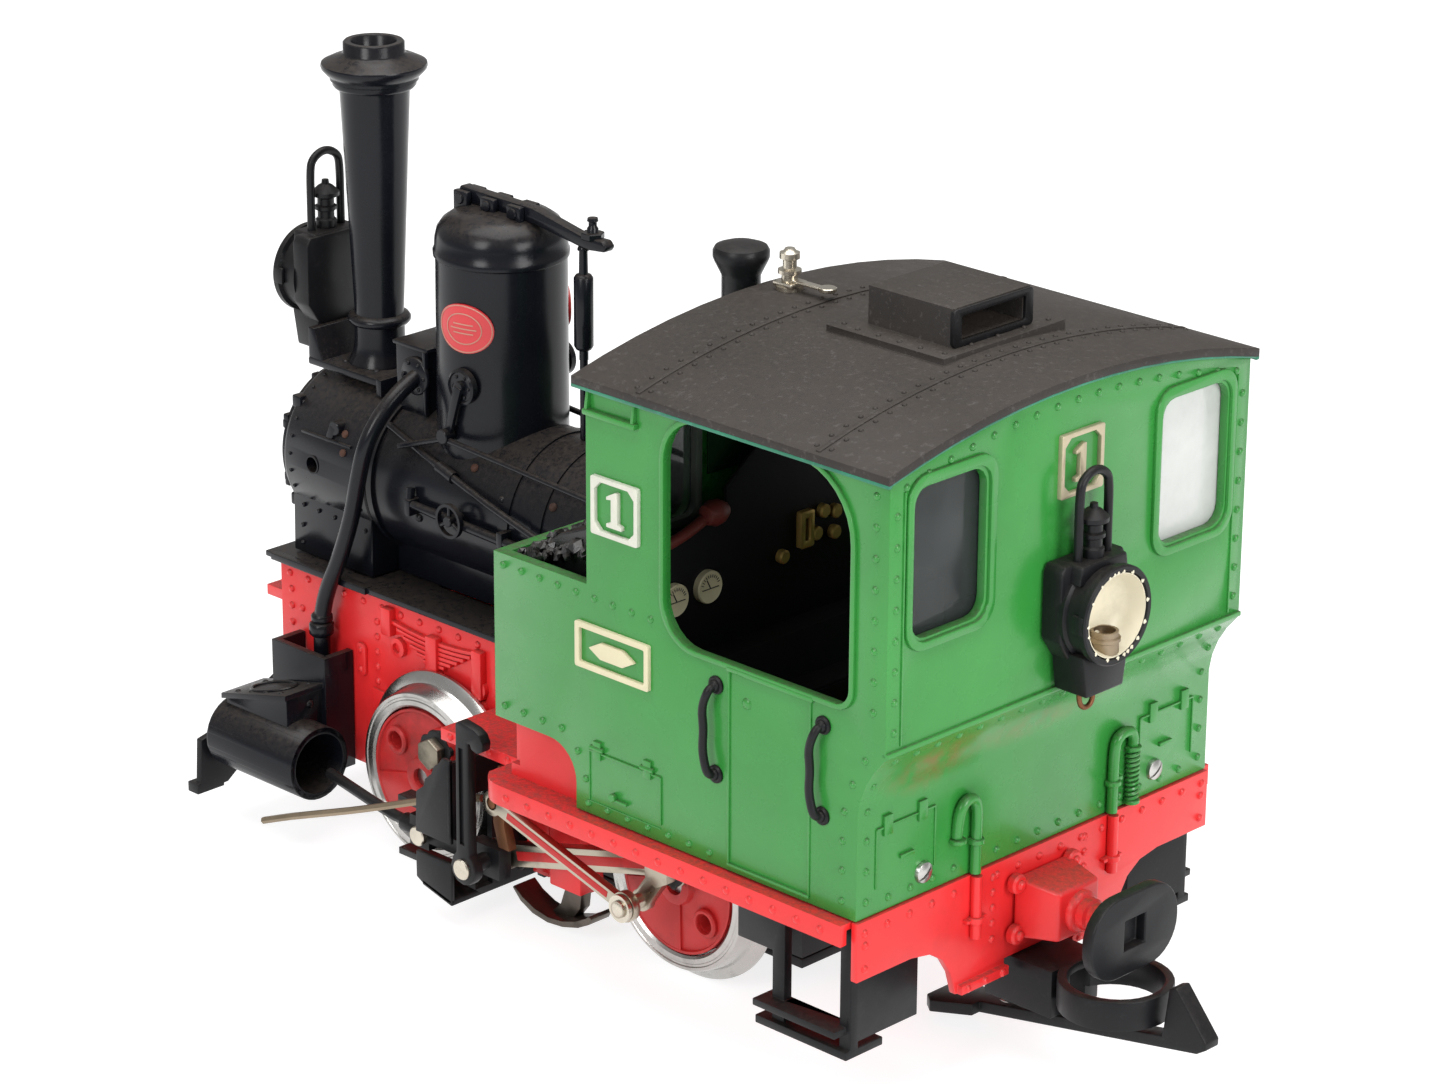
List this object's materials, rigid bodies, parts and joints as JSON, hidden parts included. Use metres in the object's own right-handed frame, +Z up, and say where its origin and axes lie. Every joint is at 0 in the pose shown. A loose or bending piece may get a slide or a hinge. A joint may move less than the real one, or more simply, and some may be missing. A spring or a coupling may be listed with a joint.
{
  "type": "model tank locomotive",
  "caption": "Garden-railway model of a small four-wheeled side-tank engine with a cab, tall chimney, steam dome, outside cylinders and valve gear, and a hook-and-loop coupler.",
  "frame": {"origin": "middle of the underside, on the plane that the wheel flanges stand on", "axes": "+X towards the chimney end, +Y to the engine's left side, +Z up"},
  "size_m": [0.2398, 0.1012, 0.1579],
  "materials": {
    "green_plastic": "satin",
    "red_plastic": "satin",
    "black_plastic": "satin",
    "roof_plastic": "matt, dusty",
    "wheel_steel": "turned, dull",
    "rod_steel": "plated",
    "link_brass": "browned",
    "motor_steel": "plated",
    "worm_brass": "machined"
  },
  "bodies": {
    "engine": {"cab_body": "green_plastic", "footplate": "red_plastic", "main_frame": "red_plastic", "rear_beam": "red_plastic", "buffer_housing": "red_plastic", "backhead": "black_plastic", "rear_lamp": "black_plastic", "front_lamp": "black_plastic", "boiler": "black_plastic", "steam_dome": "black_plastic", "smokebox": "black_plastic", "chimney": "black_plastic", "running_plate": "black_plastic", "front_guard": "black_plastic", "gearbox": "black_plastic", "gearbox_cover": "black_plastic", "motion_bracket": "black_plastic", "cab_roof": "roof_plastic", "motor": "motor_steel", "cab_step_left": "black_plastic", "cylinder_left": "black_plastic", "steam_pipe_left": "black_plastic", "cab_step_right": "black_plastic", "cylinder_right": "black_plastic", "steam_pipe_right": "black_plastic"},
    "smokebox_door": {"smokebox_door": "black_plastic"},
    "wheelset_front": {"axle_front": "wheel_steel", "tyre_front_left": "wheel_steel", "wheel_disc_front_left": "red_plastic", "crank_pin_front_left": "rod_steel", "tyre_front_right": "wheel_steel", "wheel_disc_front_right": "red_plastic", "crank_pin_front_right": "rod_steel"},
    "wheelset_rear": {"axle_rear": "wheel_steel", "tyre_rear_left": "wheel_steel", "wheel_disc_rear_left": "red_plastic", "tyre_rear_right": "wheel_steel", "wheel_disc_rear_right": "red_plastic"},
    "worm_shaft": {"worm_shaft": "worm_brass"},
    "buffer_plate": {"buffer_plate": "black_plastic"},
    "coupler_loop": {"coupler_loop": "black_plastic"},
    "coupler_hook": {"coupler_hook": "black_plastic"},
    "crosshead_left": {"crosshead_left": "black_plastic"},
    "main_rod_left": {"main_rod_left": "rod_steel", "return_crank_left": "rod_steel"},
    "combination_lever_left": {"combination_lever_left": "black_plastic"},
    "expansion_link_left": {"expansion_link_left": "link_brass"},
    "eccentric_rod_left": {"eccentric_rod_left": "rod_steel"},
    "radius_rod_left": {"radius_rod_left": "link_brass"},
    "pickup_shoe_left": {"pickup_shoe_left": "rod_steel"},
    "crosshead_right": {"crosshead_right": "black_plastic"},
    "main_rod_right": {"main_rod_right": "rod_steel", "return_crank_right": "rod_steel"},
    "combination_lever_right": {"combination_lever_right": "black_plastic"},
    "expansion_link_right": {"expansion_link_right": "link_brass"},
    "eccentric_rod_right": {"eccentric_rod_right": "rod_steel"},
    "radius_rod_right": {"radius_rod_right": "link_brass"},
    "pickup_shoe_right": {"pickup_shoe_right": "rod_steel"}
  },
  "joints": [
    {"name": "front_axle_turn", "type": "hinge", "parent": "engine", "child": "wheelset_front", "pos_m": [0.05825, 0, 0.0205], "axis": [0, 1, 0], "continuous": true},
    {"name": "rear_axle_turn", "type": "hinge", "parent": "engine", "child": "wheelset_rear", "pos_m": [-0.01215, 0, 0.0205], "axis": [0, 1, 0], "continuous": true},
    {"name": "worm_shaft_turn", "type": "hinge", "parent": "engine", "child": "worm_shaft", "pos_m": [0.02285, 0, 0.0286], "axis": [1, 0, 0], "continuous": true},
    {"name": "smokebox_door_hinge", "type": "hinge", "parent": "engine", "child": "smokebox_door", "pos_m": [0.10945, 0.0182, 0.073], "axis": [0, 0, 1], "range_deg": [0, 100]},
    {"name": "buffer_press", "type": "slide", "parent": "engine", "child": "buffer_plate", "axis": [1, 0, 0], "range_m": [0, 0.003], "stiffness_N_per_m": 200, "springref_m": -0.002},
    {"name": "coupler_swing", "type": "hinge", "parent": "engine", "child": "coupler_loop", "pos_m": [-0.07615, 0, 0.0166], "axis": [0, 0, 1], "range_deg": [-14, 14], "stiffness_Nm_per_rad": 0.02},
    {"name": "hook_dip", "type": "hinge", "parent": "coupler_loop", "child": "coupler_hook", "pos_m": [-0.07815, 0, 0.0101], "axis": [0, 1, 0], "range_deg": [-9, 0], "stiffness_Nm_per_rad": 0.01, "springref_deg": 6.88},
    {"name": "crosshead_slide_left", "type": "slide", "parent": "engine", "child": "crosshead_left", "axis": [1, 0, 0], "range_m": [-0.0039, 0.0157]},
    {"name": "main_rod_swing_left", "type": "hinge", "parent": "crosshead_left", "child": "main_rod_left", "pos_m": [0.02875, 0.0318, 0.0156], "axis": [0, 1, 0], "range_deg": [-21, 2.4]},
    {"name": "lever_rock_left", "type": "hinge", "parent": "crosshead_left", "child": "combination_lever_left", "pos_m": [0.02875, 0.0414, 0.0156], "axis": [0, 1, 0], "range_deg": [-4, 4]},
    {"name": "link_rock_left", "type": "hinge", "parent": "engine", "child": "expansion_link_left", "pos_m": [0.02365, 0.0362, 0.035], "axis": [0, 1, 0], "range_deg": [-6, 6]},
    {"name": "eccentric_rod_lift_left", "type": "hinge", "parent": "expansion_link_left", "child": "eccentric_rod_left", "pos_m": [0.02345, 0.039, 0.03], "axis": [0, 1, 0], "range_deg": [0, 5]},
    {"name": "valve_rod_lift_left", "type": "hinge", "parent": "engine", "child": "radius_rod_left", "pos_m": [0.03285, 0.035, 0.0268], "axis": [0, 1, 0], "range_deg": [-12, 0]},
    {"name": "pickup_press_left", "type": "slide", "parent": "engine", "child": "pickup_shoe_left", "axis": [0, 0, 1], "range_m": [0, 0.0015], "stiffness_N_per_m": 60, "springref_m": -0.002},
    {"name": "crosshead_slide_right", "type": "slide", "parent": "engine", "child": "crosshead_right", "axis": [1, 0, 0], "range_m": [-0.002, 0.0176]},
    {"name": "main_rod_swing_right", "type": "hinge", "parent": "crosshead_right", "child": "main_rod_right", "pos_m": [0.02851, -0.0318, 0.0156], "axis": [0, 1, 0], "range_deg": [-4.6, 18.8]},
    {"name": "lever_rock_right", "type": "hinge", "parent": "crosshead_right", "child": "combination_lever_right", "pos_m": [0.02851, -0.0414, 0.0156], "axis": [0, 1, 0], "range_deg": [-4, 4]},
    {"name": "link_rock_right", "type": "hinge", "parent": "engine", "child": "expansion_link_right", "pos_m": [0.02365, -0.0362, 0.035], "axis": [0, 1, 0], "range_deg": [-6, 6]},
    {"name": "eccentric_rod_lift_right", "type": "hinge", "parent": "expansion_link_right", "child": "eccentric_rod_right", "pos_m": [0.02345, -0.039, 0.03], "axis": [0, 1, 0], "range_deg": [0, 5]},
    {"name": "valve_rod_lift_right", "type": "hinge", "parent": "engine", "child": "radius_rod_right", "pos_m": [0.03285, -0.035, 0.0268], "axis": [0, 1, 0], "range_deg": [-12, 0]},
    {"name": "pickup_press_right", "type": "slide", "parent": "engine", "child": "pickup_shoe_right", "axis": [0, 0, 1], "range_m": [0, 0.0015], "stiffness_N_per_m": 60, "springref_m": -0.002}
  ],
  "couplings": [
    {"joint": "rear_axle_turn", "follows": "front_axle_turn", "ratio": 1},
    {"joint": "worm_shaft_turn", "follows": "front_axle_turn", "ratio": 22}
  ]
}
